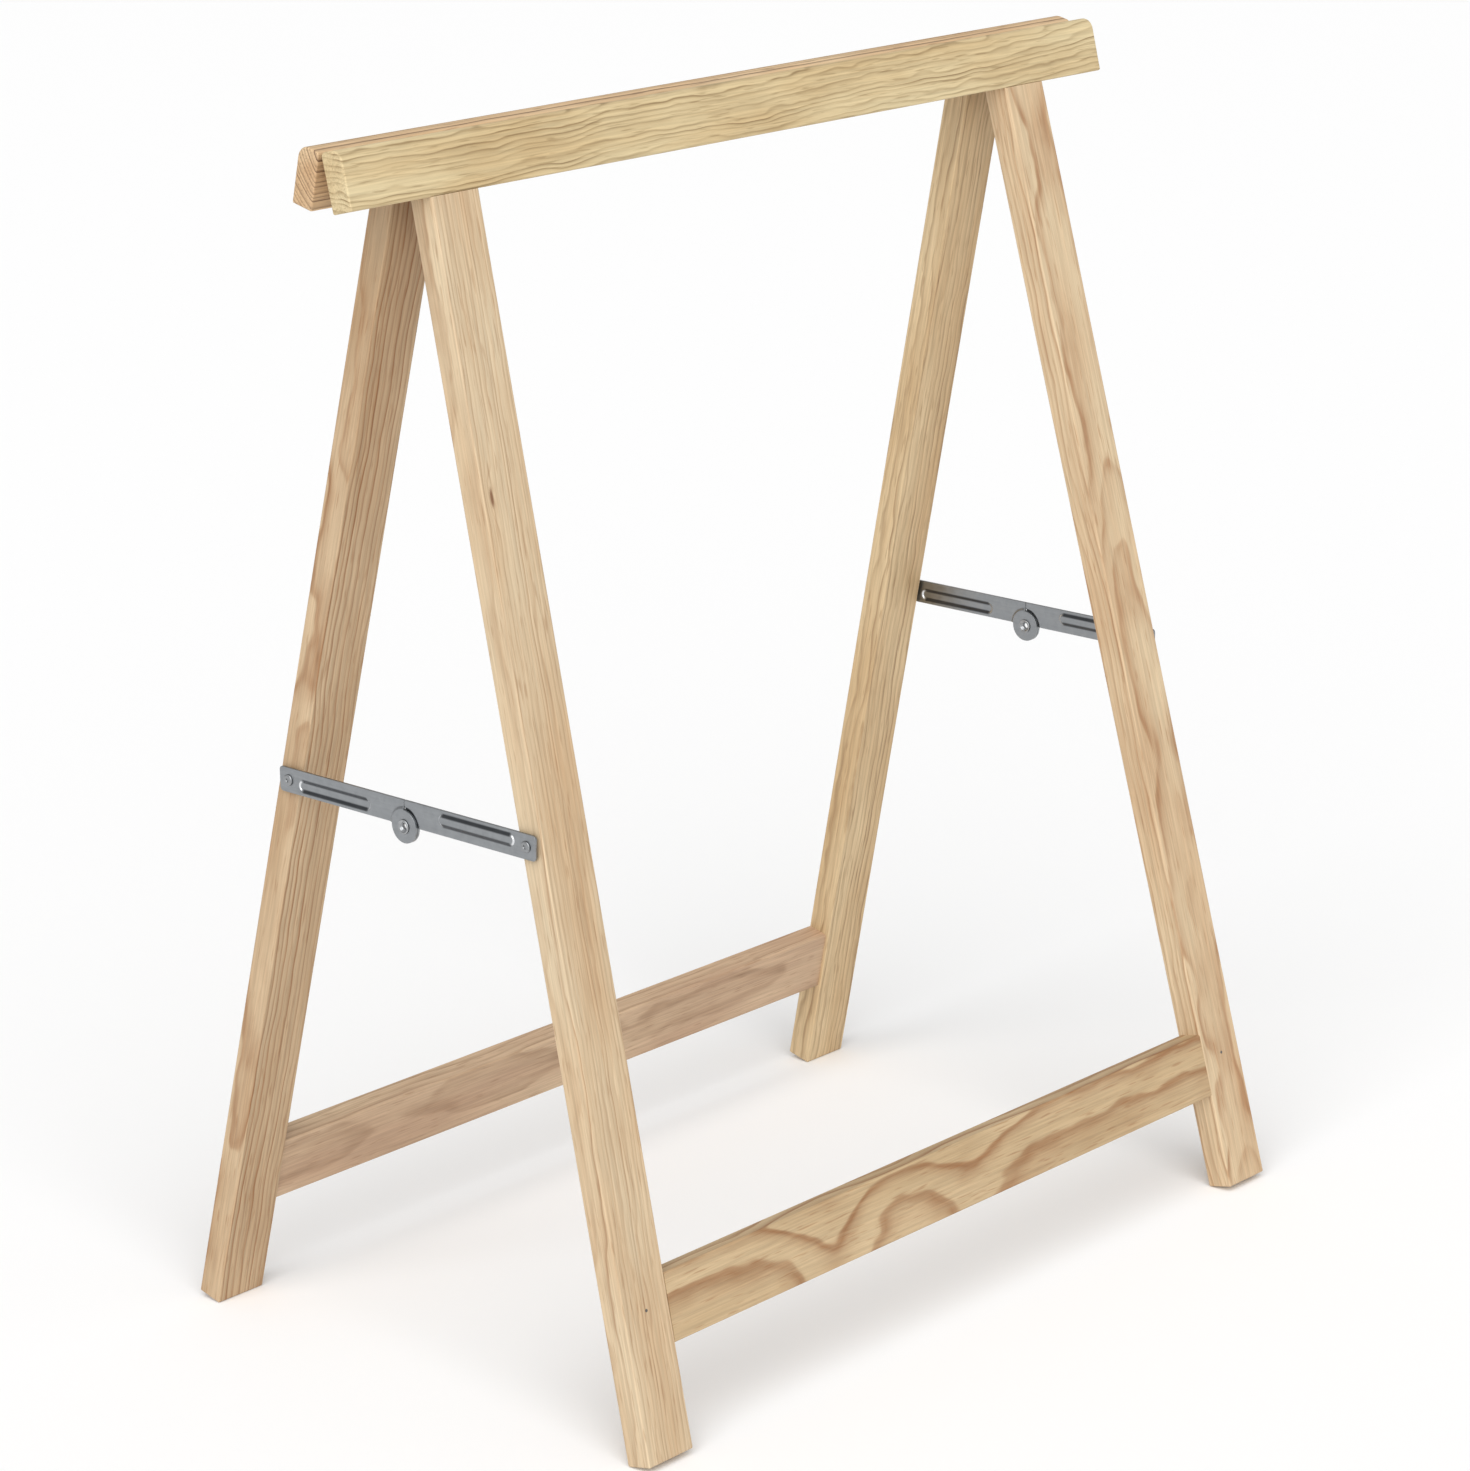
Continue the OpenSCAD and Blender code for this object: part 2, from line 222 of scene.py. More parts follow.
def planed_pine(
        name, early, tint, late, pith, lean=(0, 0), gap=4, wander=6, wave=220, ripple=1.0,
        ripple_length=35, swells=(), contrast=0.6, fading=0.6, knots=(), seed=0.0):
    """Planed pine, bare. The growth rings are shells round a pith line along local Z, so every face and
    both ends show the same rings. Lengths are in mm: pith is where the line passes the middle of the
    piece, lean is its drift over a metre, gap is one year's growth, wander is how far the trunk bends and
    wave over what length, and ripple is the small waviness in rings. Each swell bows the rings into a
    loop, and has its middle, reach and push. A knot has its middle and its size. fading is how far a line
    weakens along the board. The scales of the noises are cells in a metre, across the grain and along it."""
    material, tree, shader = new_material(name)
    place = add(tree, "ShaderNodeTexCoord", {}, {}).outputs["Object"]
    axes = add(tree, "ShaderNodeSeparateXYZ", {}, {0: place})

    # The trunk wanders about the pith line
    bends = add(tree, "ShaderNodeMapping", {}, {
        "Vector": place, "Scale": (7, 7, 1 / (wave * MM)), "Location": (seed, seed * 2, seed)})
    drift = add(tree, "ShaderNodeTexNoise", {}, {"Vector": bends.outputs[0], "Scale": 1, "Detail": 1.5})
    drift = add(tree, "ShaderNodeVectorMath", {"operation": "SUBTRACT"},
                {0: drift.outputs["Color"], 1: (0.5, 0.5, 0.5)})
    drift = add(tree, "ShaderNodeVectorMath", {"operation": "MULTIPLY_ADD"},
                {0: drift.outputs[0], 1: (wander * MM, wander * MM, 0), 2: place})
    slope = (lean[0] * MM, lean[1] * MM, 1)
    start = (pith[0] * MM, pith[1] * MM, 0)
    line = add(tree, "ShaderNodeVectorMath", {"operation": "MULTIPLY_ADD"},
               {0: axes.outputs["Z"], 1: slope, 2: start})
    shell = add(tree, "ShaderNodeVectorMath", {"operation": "SUBTRACT"},
                {0: drift.outputs[0], 1: line.outputs[0]})
    shell = add(tree, "ShaderNodeVectorMath", {"operation": "LENGTH"}, {0: shell.outputs[0]})
    radius = shell.outputs["Value"]

    # A swell pushes the rings outward, by less and less away from its middle
    for middle, reach, push in swells:
        hump = add(tree, "ShaderNodeMath", {"operation": "SUBTRACT"},
                   {0: axes.outputs["Z"], 1: middle * MM})
        hump = add(tree, "ShaderNodeMath", {"operation": "DIVIDE"}, {0: hump.outputs[0], 1: reach * MM})
        hump = add(tree, "ShaderNodeMath", {"operation": "MULTIPLY"},
                   {0: hump.outputs[0], 1: hump.outputs[0]})
        hump = add(tree, "ShaderNodeMath", {"operation": "MULTIPLY"}, {0: hump.outputs[0], 1: -1})
        hump = add(tree, "ShaderNodeMath", {"operation": "EXPONENT"}, {0: hump.outputs[0]})
        radius = add(tree, "ShaderNodeMath", {"operation": "MULTIPLY_ADD"},
                     {0: hump.outputs[0], 1: push * MM, 2: radius}).outputs[0]

    # The rings part round each knot
    cores = []
    for middle, size in knots:
        spot = add(tree, "ShaderNodeVectorMath", {"operation": "SUBTRACT"},
                   {0: place, 1: [c * MM for c in middle]})
        spot = add(tree, "ShaderNodeVectorMath", {"operation": "DIVIDE"},
                   {0: spot.outputs[0], 1: [c * MM for c in size]})
        spot = add(tree, "ShaderNodeVectorMath", {"operation": "LENGTH"}, {0: spot.outputs[0]})
        part = add(tree, "ShaderNodeMapRange", {"interpolation_type": "SMOOTHSTEP"}, {
            "Value": spot.outputs["Value"],
            "From Min": 0, "From Max": 4, "To Min": 1.3 * gap * MM, "To Max": 0})
        part = add(tree, "ShaderNodeMath", {"operation": "ADD"}, {0: radius, 1: part.outputs[0]})
        radius = part.outputs[0]
        cores.append(spot.outputs["Value"])

    # Good and poor years: the gap between rings swings over a few years
    years = add(tree, "ShaderNodeMath", {"operation": "DIVIDE"}, {0: radius, 1: 3.2 * gap * MM})
    swing = add(tree, "ShaderNodeTexNoise", {"noise_dimensions": "1D"},
                {"W": years.outputs[0], "Scale": 1, "Detail": 1})
    waves = add(tree, "ShaderNodeMapping", {}, {
        "Vector": place, "Scale": (60, 60, 1 / (ripple_length * MM)), "Location": (seed, 0, 0)})
    waves = add(tree, "ShaderNodeTexNoise", {}, {"Vector": waves.outputs[0], "Scale": 1, "Detail": 1.4})
    rings = add(tree, "ShaderNodeMath", {"operation": "DIVIDE"}, {0: radius, 1: gap * MM})
    rings = add(tree, "ShaderNodeMath", {"operation": "MULTIPLY_ADD"},
                {0: swing.outputs["Fac"], 1: 1.8, 2: rings.outputs[0]})
    rings = add(tree, "ShaderNodeMath", {"operation": "MULTIPLY_ADD"},
                {0: waves.outputs["Fac"], 1: ripple, 2: rings.outputs[0]})

    # Each ring is pale early wood that darkens to late wood and stops sharply
    across = add(tree, "ShaderNodeMath", {"operation": "FRACT"}, {0: rings.outputs[0]})
    band = add(tree, "ShaderNodeValToRGB", {}, {"Fac": across.outputs[0]})
    stops = band.color_ramp.elements
    for stop in stops:
        stop.color = (0.1, 0.1, 0.1, 1)
    for position, value in ((0.08, 0), (0.4, 0.1), (0.68, 0.45), (0.85, 1.0), (0.93, 0.85)):
        stops.new(position).color = (value, value, value, 1)
    count = add(tree, "ShaderNodeMath", {"operation": "FLOOR"}, {0: rings.outputs[0]})
    year = add(tree, "ShaderNodeTexWhiteNoise", {"noise_dimensions": "1D"}, {"W": count.outputs[0]})
    strength = add(tree, "ShaderNodeMapRange", {},
                   {"Value": year.outputs["Value"], "To Min": 0.4 * contrast, "To Max": contrast})
    late_wood = add(tree, "ShaderNodeMath", {"operation": "MULTIPLY"},
                    {0: band.outputs[0], 1: strength.outputs[0]})

    # A line fades in and out along the board
    fade = add(tree, "ShaderNodeMapping", {},
               {"Vector": place, "Scale": (150, 150, 11), "Location": (3, seed, 0)})
    fade = add(tree, "ShaderNodeTexNoise", {}, {"Vector": fade.outputs[0], "Scale": 1, "Detail": 2})
    fade = add(tree, "ShaderNodeMapRange", {}, {
        "Value": fade.outputs["Fac"],
        "From Min": 0.38, "From Max": 0.6, "To Min": 1 - fading, "To Max": 1})
    late_wood = add(tree, "ShaderNodeMath", {"operation": "MULTIPLY"},
                    {0: late_wood.outputs[0], 1: fade.outputs[0]})

    # Broad drifts of colour along the board
    cloud = add(tree, "ShaderNodeMapping", {},
                {"Vector": place, "Scale": (34, 34, 7), "Location": (0, seed, 0)})
    cloud = add(tree, "ShaderNodeTexNoise", {}, {"Vector": cloud.outputs[0], "Scale": 1, "Detail": 4})
    cloud = add(tree, "ShaderNodeMapRange", {},
                {"Value": cloud.outputs["Fac"], "From Min": 0.32, "From Max": 0.68})
    colour = add(tree, "ShaderNodeMix", {"data_type": "RGBA"},
                 {"Factor": cloud.outputs[0], 6: linear_colour(early), 7: linear_colour(tint)}).outputs[2]
    colour = add(tree, "ShaderNodeMix", {"data_type": "RGBA"},
                 {"Factor": late_wood.outputs[0], 6: colour, 7: linear_colour(late)}).outputs[2]

    # Fibres about a millimetre apart, drawn a little coarser than real ones so that they show
    fibres = add(tree, "ShaderNodeMapping", {}, {"Vector": place, "Scale": (950, 950, 22)})
    fibres = add(tree, "ShaderNodeTexNoise", {}, {"Vector": fibres.outputs[0], "Scale": 1, "Detail": 4})
    fibre = fibres.outputs["Fac"]
    shade = add(tree, "ShaderNodeMapRange", {},
                {"Value": fibre, "From Min": 0.3, "From Max": 0.7, "To Min": 0.82, "To Max": 1.06})
    colour = add(tree, "ShaderNodeMix", {"data_type": "RGBA", "blend_type": "MULTIPLY"},
                 {"Factor": 1.0, 6: colour, 7: shade.outputs[0]}).outputs[2]

    # Resin ducts, cut open as short dark dashes, drawn several times wider than real ones
    ducts = add(tree, "ShaderNodeMapping", {},
                {"Vector": place, "Scale": (700, 700, 55), "Location": (seed, 0, 3)})
    ducts = add(tree, "ShaderNodeTexNoise", {}, {"Vector": ducts.outputs[0], "Scale": 1, "Detail": 1})
    dash = add(tree, "ShaderNodeMapRange", {},
               {"Value": ducts.outputs["Fac"], "From Min": 0.62, "From Max": 0.74, "To Max": 0.4})
    colour = add(tree, "ShaderNodeMix", {"data_type": "RGBA"},
                 {"Factor": dash.outputs[0], 6: colour, 7: linear_colour(late)}).outputs[2]
    for spot in cores:
        core = add(tree, "ShaderNodeMapRange", {"interpolation_type": "SMOOTHSTEP"},
                   {"Value": spot, "From Min": 0.4, "From Max": 1.3, "To Min": 0.85, "To Max": 0})
        colour = add(tree, "ShaderNodeMix", {"data_type": "RGBA"},
                     {"Factor": core.outputs[0], 6: colour, 7: linear_colour("#74492a")}).outputs[2]

    # The plane leaves the hard late wood a hair proud and the fibres faintly open
    rough = add(tree, "ShaderNodeMapRange", {}, {"Value": fibre, "To Min": 0.66, "To Max": 0.5})
    height = add(tree, "ShaderNodeMath", {"operation": "MULTIPLY_ADD"},
                 {0: late_wood.outputs[0], 1: 0.6, 2: fibre})
    bump = add(tree, "ShaderNodeBump", {},
               {"Height": height.outputs[0], "Strength": 0.4, "Distance": 0.35 * MM})
    shader.inputs["IOR"].default_value = 1.48
    tree.links.new(colour, shader.inputs["Base Color"])
    tree.links.new(rough.outputs[0], shader.inputs["Roughness"])
    tree.links.new(bump.outputs[0], shader.inputs["Normal"])
    return material


def beam_outline():
    """The end of a beam from its middle, X outward and Y up, with the two top corners rounded."""
    half_x, half_y = beam_thickness / 2, beam_height / 2
    points = [(-half_x, -half_y), (half_x, -half_y)]
    corners = ((half_x - beam_round, beam_round, 0), (beam_inner_round - half_x, beam_inner_round, 90))
    for middle_x, radius, start in corners:
        for step in range(round_steps + 1):
            angle = math.radians(start + 90 * step / round_steps)
            points.append((middle_x + radius * math.cos(angle), half_y - radius + radius * math.sin(angle)))
    return points


# Turns a bar that is built along local Z to lie along the beams, its own X outward and its Y up
lay_along = Matrix(((0, 0, -1, 0), (-1, 0, 0, 0), (0, 1, 0, 0), (0, 0, 0, 1)))
beam_place = Matrix.Translation((0, beam_middle_y, beam_rise - beam_height / 2)) @ lay_along

beam_finish = {
    # Yellow sap wood from near the bark: wavy lines on the face, shallow slanting rings on the end
    "front": ("beam_pine", planed_pine(
        "planed yellow pine", "#dccaa0", "#c9ae80", "#7f6238",
        pith=(-24, -88), lean=(0, -22), gap=3.7, wander=15, wave=130, ripple=1.5, ripple_length=30,
        contrast=1.0, seed=3.1)),
    # Redder pine from nearer the heart: bold diagonal rings on the end
    "back": ("back_beam_pine", planed_pine(
        "planed pink pine", "#e2c7a0", "#cba67c", "#56321a",
        pith=(-40, 42), gap=2.6, wander=6, ripple=0.5, contrast=1.0, fading=0.1, seed=8.4)),
}

for own_frame, place in frame_place.items():
    bm = extruded(beam_outline(), beam_length)
    ease_edges(bm, eased_edge)
    beam = new_piece(own_frame + "_top_beam", mesh_from(bm), place @ beam_place)
    mortises = [
        (leg_tenon(glue_line), place @ leg_axis(side) @ Matrix.Translation((0, beam_middle_y, 0)))
        for side in (-1, 1)
    ]
    combine(beam, "DIFFERENCE", mortises)
    slot, pine = beam_finish[own_frame]
    finish_piece(beam, pine, own_frame + "_frame", own_frame + "_beam")

# ---------------------------------------------------------------------------
# Legs. Four planed pine battens, splayed two degrees, each with a tenon glued
# up into its beam, a mortise for the stretcher and a square-cut foot. They are
# sawn from different boards, so each has its own run of rings.
# ---------------------------------------------------------------------------

leg_thickness = 18 * MM
leg_middle_y = leg_thickness / 2 - outer_depth
leg_cut_width = leg_width * math.cos(leg_splay)
frame_run = 763 * MM
foot_z = (beam_drop - frame_run) / math.cos(leg_splay)
stretcher_height = 42 * MM
stretcher_bottom = frame_run - 63.5 * MM
stretcher_top = stretcher_bottom - stretcher_height
brad_drop = stretcher_top + 17 * MM
brad_radius = 1 * MM
brad_length = 15 * MM
stay_run = 395.5 * MM
stay_screw_depth = 8.5 * MM
stay_screw_radius = 2 * MM
drill_play = 0.03 * MM


def leg_centre_x(drop):
    return leg_top_x + (drop - beam_drop) * math.tan(leg_splay)


def turned(outline, closed=False, steps=64):
    """Spins an outline of (radius, height) points about local Z."""
    bm = bmesh.new()
    rings = []
    for radius, height in outline:
        turns = steps if radius else 1
        angles = [2 * math.pi * turn / turns for turn in range(turns)]
        rings.append([bm.verts.new((radius * math.cos(a), radius * math.sin(a), height)) for a in angles])
    if closed:
        rings.append(rings[0])
    for lower, upper in zip(rings, rings[1:]):
        for i in range(steps):
            j = (i + 1) % steps
            corners = [lower[i % len(lower)], lower[j % len(lower)]]
            corners += [upper[j % len(upper)], upper[i % len(upper)]]
            # A ring on the axis is one point, which must count only once
            bm.faces.new(dict.fromkeys(corners))
    return bm


def rod(radius, length):
    return turned([(0, 0), (radius, 0), (radius, length), (0, length)])


def stretcher_tenon(side, play):
    """The space of a stretcher's tenon at one end, in the frame's own upright place."""
    inner_x = leg_centre_x(stretcher_top) - leg_width / 2
    near, far = inner_x - tenon_shoulder, inner_x + tenon_length + play
    x_range = (near, far) if side > 0 else (-far, -near)
    half_thickness = tenon_thickness / 2 + play
    return block(
        (x_range[0], beam_middle_y - half_thickness, -stretcher_bottom + tenon_shoulder - play),
        (x_range[1], beam_middle_y + half_thickness, -stretcher_top - tenon_shoulder + play),
    )


def brad_hole(side):
    return rod(brad_radius + drill_play, 2 * brad_length), (
        Matrix.Translation((side * leg_centre_x(brad_drop), brad_length - outer_depth, -brad_drop))
        @ Matrix.Rotation(math.pi / 2, 4, "X")
    )


def stay_screw_hole(side):
    return rod(stay_screw_radius + drill_play, leg_width), (
        Matrix.Translation((side * leg_centre_x(stay_run), -stay_screw_depth, -stay_run))
        @ Matrix.Rotation(side * math.pi / 2, 4, "Y")
    )


# Keyed by the frame and by the side along the frame's own X
leg_finish = {
    # Quartered outer face with fine straight lines and one small knot
    ("front", -1): planed_pine(
        "planed pine quartered cream", "#d6c1a0", "#c7a984", "#966c46",
        pith=(-72, 14), lean=(9, -6), gap=3.4, wander=10, wave=180, ripple=1.3, contrast=0.72, seed=1.7,
        knots=[((-12, -9, -172.6), (1.5, 6, 6))]),
    # Flat-sawn outer face with long pointed arches
    ("front", 1): planed_pine(
        "planed pine flat sawn cream", "#d8c29f", "#c8a984", "#99663a",
        pith=(5, 52), lean=(4, 14), gap=4.4, wander=17, wave=130, ripple=0.7, contrast=0.8, seed=5.2),
    # Straight grained on the wide face, flame-shaped late wood on the narrow one
    ("back", 1): planed_pine(
        "planed pine quartered tan", "#c9af8d", "#b39470", "#8c5a2b",
        pith=(66, 8), lean=(-8, 4), gap=4.2, wander=13, wave=110, ripple=0.9, contrast=0.95, fading=0.35,
        seed=9.3),
    # Rift sawn, with lines on all four faces
    ("back", -1): planed_pine(
        "planed pine rift sawn tan", "#dcc49c", "#c6a77c", "#85603a",
        pith=(46, 34), lean=(-10, 16), gap=4.2, wander=14, wave=150, ripple=1.3, contrast=0.75, seed=12.8),
}

for (own_frame, side), pine in leg_finish.items():
    place = frame_place[own_frame]
    slant = (-side * math.tan(leg_splay), 0)
    low = (-leg_cut_width / 2, -leg_thickness / 2, foot_z)
    high = (leg_cut_width / 2, leg_thickness / 2, 0)
    bm = block(low, high, slant, slant)
    # The shoulder under the beam stays crisp
    ease_edges(bm, eased_edge, crisp=lambda edge: min(vertex.co.z for vertex in edge.verts) > foot_z / 2)
    world_side = "left" if (side < 0) == (own_frame == "front") else "right"
    leg_place = place @ leg_axis(side) @ Matrix.Translation((0, leg_middle_y, 0))
    leg = new_piece(f"{own_frame}_leg_batten_{world_side}", mesh_from(bm), leg_place)
    tenon_place = place @ leg_axis(side) @ Matrix.Translation((0, beam_middle_y, 0))
    combine(leg, "UNION", [(leg_tenon(0), tenon_place)])
    cuts = [(stretcher_tenon(side, glue_line), Matrix()), brad_hole(side), stay_screw_hole(side)]
    combine(leg, "DIFFERENCE", [(shape, place @ spot) for shape, spot in cuts])
    finish_piece(leg, pine, own_frame + "_frame", f"{own_frame}_leg_{world_side}")

# ---------------------------------------------------------------------------
# Stretchers. A flat pine rail low down joins the two legs of each frame, with
# a tenon in a mortise at both ends and its outer face flush with the legs'.
# ---------------------------------------------------------------------------

stretcher_middle = -(stretcher_top + stretcher_bottom) / 2
stretcher_reach = leg_centre_x(-stretcher_middle) - leg_width / 2
end_slant = math.tan(leg_splay)

stretcher_finish = {
    # Flat sawn through two swellings of the trunk, where the late wood dips across the face in bold veins
    "front": planed_pine(
        "planed pine flat sawn gold", "#cdb48e", "#bca17a", "#8a5628",
        pith=(-70, -28), lean=(4, 8), gap=9.5, wander=6, wave=90, ripple=0.6, contrast=1.0, fading=0.25,
        seed=15.1, swells=((115, 42, 10), (-15, 38, 7))),
    # Pinker, with one long loop near an end
    "back": planed_pine(
        "planed pine flat sawn pink", "#d1b696", "#bd9d80", "#84603f",
        pith=(44, 4), lean=(10, 0), gap=5.5, wander=14, wave=200, ripple=0.6, contrast=0.6, seed=18.6,
        swells=((-150, 60, 5),)),
}

for own_frame, pine in stretcher_finish.items():
    place = frame_place[own_frame]
    bm = block(
        (-beam_thickness / 2, -stretcher_height / 2, -stretcher_reach),
        (beam_thickness / 2, stretcher_height / 2, stretcher_reach),
        (0, end_slant), (0, -end_slant))
    # The shoulders against the legs stay crisp
    ease_edges(bm, eased_edge, crisp=lambda edge: edge.verts[0].co.z * edge.verts[1].co.z > 0)
    rail_place = place @ Matrix.Translation((0, beam_middle_y, stretcher_middle)) @ lay_along
    rail = new_piece(own_frame + "_stretcher_rail", mesh_from(bm), rail_place)
    combine(rail, "UNION", [(stretcher_tenon(side, 0), place) for side in (-1, 1)])
    holes = [brad_hole(side) for side in (-1, 1)]
    combine(rail, "DIFFERENCE", [(shape, place @ spot) for shape, spot in holes])
    finish_piece(rail, pine, own_frame + "_frame", own_frame + "_stretcher")

# ---------------------------------------------------------------------------
# Brads. A steel wire nail is driven through each leg into the stretcher's
# tenon and set flush, so only its small round head shows.
# ---------------------------------------------------------------------------


def worked_steel(name, colour, dark, roughness, grain, bump_height, spangle=0.0):
    """Steel with a fine worked surface: rolling or drawing marks along the grain's long direction,
    with clouded roughness that breaks up the reflections. grain is in marks per metre and
    bump_height in mm."""
    material, tree, shader = new_material(name)
    place = add(tree, "ShaderNodeTexCoord", {}, {}).outputs["Object"]
    marks = add(tree, "ShaderNodeMapping", {}, {"Vector": place, "Scale": grain})
    marks = add(tree, "ShaderNodeTexNoise", {}, {"Vector": marks.outputs[0], "Scale": 1, "Detail": 3})
    marks = marks.outputs["Fac"]
    clouds = add(tree, "ShaderNodeTexNoise", {}, {"Vector": place, "Scale": 160, "Detail": 3})
    clouds = clouds.outputs["Fac"]
    blend = add(tree, "ShaderNodeMath", {"operation": "MULTIPLY_ADD"}, {0: marks, 1: 0.5, 2: clouds})
    tone = add(tree, "ShaderNodeMapRange", {},
               {"Value": blend.outputs[0], "From Min": 0.5, "From Max": 1.0})
    base = add(tree, "ShaderNodeMix", {"data_type": "RGBA"},
               {"Factor": tone.outputs[0], 6: linear_colour(dark), 7: linear_colour(colour)}).outputs[2]
    if spangle:
        # Zinc sets in flat crystals a few millimetres across, each turned its own way
        crystals = add(tree, "ShaderNodeTexVoronoi", {}, {"Vector": place, "Scale": 420})
        facet = add(tree, "ShaderNodeSeparateColor", {}, {0: crystals.outputs["Color"]})
        light = add(tree, "ShaderNodeMapRange", {},
                    {"Value": facet.outputs[0], "To Min": 1 - spangle, "To Max": 1})
        base = add(tree, "ShaderNodeMix", {"data_type": "RGBA", "blend_type": "MULTIPLY"},
                   {"Factor": 1.0, 6: base, 7: light.outputs[0]}).outputs[2]
    spread = 0.07
    rough = add(tree, "ShaderNodeMapRange", {}, {
        "Value": clouds,
        "From Min": 0.3, "From Max": 0.7, "To Min": roughness - spread, "To Max": roughness + spread})
    bump = add(tree, "ShaderNodeBump", {}, {"Height": marks, "Strength": 0.4, "Distance": bump_height * MM})
    shader.inputs["Metallic"].default_value = 1
    tree.links.new(base, shader.inputs["Base Color"])
    tree.links.new(rough.outputs[0], shader.inputs["Roughness"])
    tree.links.new(bump.outputs[0], shader.inputs["Normal"])
    return material


def refinish(node, material):
    for material_slot in bpy.data.objects[node].material_slots:
        material_slot.material = material


# Bare drawn wire, gone dull: a dark grey dot in the wood
wire_steel = worked_steel("drawn wire steel", "#8a8884", "#5e5b57", 0.45, (900, 900, 900), 0.02)
for own_frame in frame_place:
    refinish(own_frame + "_brads", wire_steel)

# ---------------------------------------------------------------------------
# Butt hinges. Two pressed steel hinges lie in the gap between the beams, with
# the pin just below the tops, and three countersunk screws hold each leaf.
# ---------------------------------------------------------------------------

# Cold-rolled and bright zinc plated: a cool sheen with faint lines along the leaf
hinge_steel = worked_steel("zinc plated rolled steel", "#b9babb", "#96989a", 0.34, (60, 700, 700), 0.02)
# Zinc on a turned thread: a little brighter and tighter in grain
screw_steel = worked_steel("zinc plated screw steel", "#a8aaac", "#8e9092", 0.42, (500, 500, 500), 0.02)

for world_side in world_sides:
    for own_frame in frame_place:
        refinish(f"{own_frame}_hinge_leaf_{world_side}", hinge_steel)
        refinish(f"{own_frame}_hinge_screws_{world_side}", screw_steel)
    refinish("hinge_pin_" + world_side, hinge_steel)

# ---------------------------------------------------------------------------
# Folding stays. Each stay is two pressed links of galvanised strip that meet
# at a knee. A link is blanked with an ear at the knee, its ear is joggled half
# a thickness aside to pass the other one, and a long rib is pressed in its bar.
# ---------------------------------------------------------------------------

strip_thickness = 1.5 * MM
bar_height = 15.5 * MM
bar_corner = 2.5 * MM
butt_gap = 0.2 * MM
knee_drop = 8.4 * MM
ear_radius = 10.25 * MM
ear_shift = 0.9 * MM
joggle_start = 10.5 * MM
joggle_end = 12.4 * MM
rivet_hole = 2.55 * MM
screw_hole = 2.05 * MM
rib_half_width = 3.9 * MM
rib_crown_half_width = 2.3 * MM
rib_half_length = 31.5 * MM
rib_reach = rib_half_length - rib_half_width
rib_share = 0.6
# The rib lies off the bar's centre line, low in the back links and high in the front ones
rib_offset = 1.7 * MM
rib_rise = 0.9 * MM
mesh_step = 0.8 * MM
arc_step = 0.5 * MM
row_spacing = 0.25 * MM
same_point = 0.05 * MM
edge_roll = 0.2 * MM

rivet_low, rivet_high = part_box("knee_rivet_right")
knee = (rivet_low + rivet_high) / 2
screw_low, screw_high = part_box("back_screw_right")
screw_y = (screw_low.y + screw_high.y) / 2
stay_plane_x = (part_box("front_link_right")[0].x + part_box("back_link_right")[1].x) / 2
bar_low = knee_drop - bar_height / 2
bar_high = knee_drop + bar_height / 2
bar_end = screw_y + bar_height / 2


def arc(middle, radius, start, end):
    """Evenly spaced points along an arc, between two angles in degrees."""
    turn = math.radians(end - start)
    count = max(4, round(abs(turn) * radius / arc_step))
    angles = [math.radians(start) + turn * i / count for i in range(count + 1)]
    return [Vector((middle[0] + radius * math.cos(a), middle[1] + radius * math.sin(a))) for a in angles]


def straight(start, end):
    count = max(1, round((Vector(end) - Vector(start)).length / mesh_step))
    return [Vector(start).lerp(Vector(end), i / count) for i in range(count + 1)]


def link_outline():
    """The blank's edge, along the bar and up from the knee."""
    ear_top = math.sqrt(ear_radius ** 2 - butt_gap ** 2)
    ear_side = math.sqrt(ear_radius ** 2 - bar_low ** 2)
    corner_y = bar_end - bar_corner
    points = straight((butt_gap, ear_top), (butt_gap, bar_high))
    points += straight((butt_gap, bar_high), (corner_y, bar_high))
    points += arc((corner_y, bar_high - bar_corner), bar_corner, 90, 0)
    points += arc((corner_y, bar_low + bar_corner), bar_corner, 0, -90)
    points += straight((corner_y, bar_low), (ear_side, bar_low))
    side_angle = math.degrees(math.atan2(bar_low, ear_side))
    top_angle = math.degrees(math.atan2(ear_top, butt_gap))
    points += arc((0, 0), ear_radius, side_angle, top_angle - 360)
    kept = []
    for point in points:
        if not kept or (point - kept[-1]).length > same_point:
            kept.append(point)
    if (kept[0] - kept[-1]).length < same_point:
        kept.pop()
    return kept


def inside(point, loop):
    """Whether a point lies in a closed loop of points."""
    hit = False
    for a, b in zip(loop, loop[1:] + loop[:1]):
        if (a.y > point.y) != (b.y > point.y):
            if point.x < a.x + (point.y - a.y) * (b.x - a.x) / (b.y - a.y):
                hit = not hit
    return hit


def smooth_step(value, start, end):
    share = min(1, max(0, (value - start) / (end - start)))
    return share * share * (3 - 2 * share)


def press_shift(y, z, rib_z):
    """How far pressing moves the strip's middle along X: the ear back, the rib forward."""
    shift = -ear_shift * (1 - smooth_step(math.hypot(y, z), joggle_start, joggle_end))
    along = max(0, abs(y - rib_share * screw_y) - rib_reach)
    from_line = math.hypot(along, z - rib_z)
    return shift + rib_rise * (1 - smooth_step(from_line, rib_crown_half_width, rib_half_width))


def round_the_rib(rib_z, radius):
    """Points all round the rib, at one distance from its spine."""
    near, far = rib_share * screw_y - rib_reach, rib_share * screw_y + rib_reach
    points = straight((near, rib_z + radius), (far, rib_z + radius))
    points += arc((far, rib_z), radius, 90, -90)
    points += straight((far, rib_z - radius), (near, rib_z - radius))
    return points + arc((near, rib_z), radius, 270, 90)


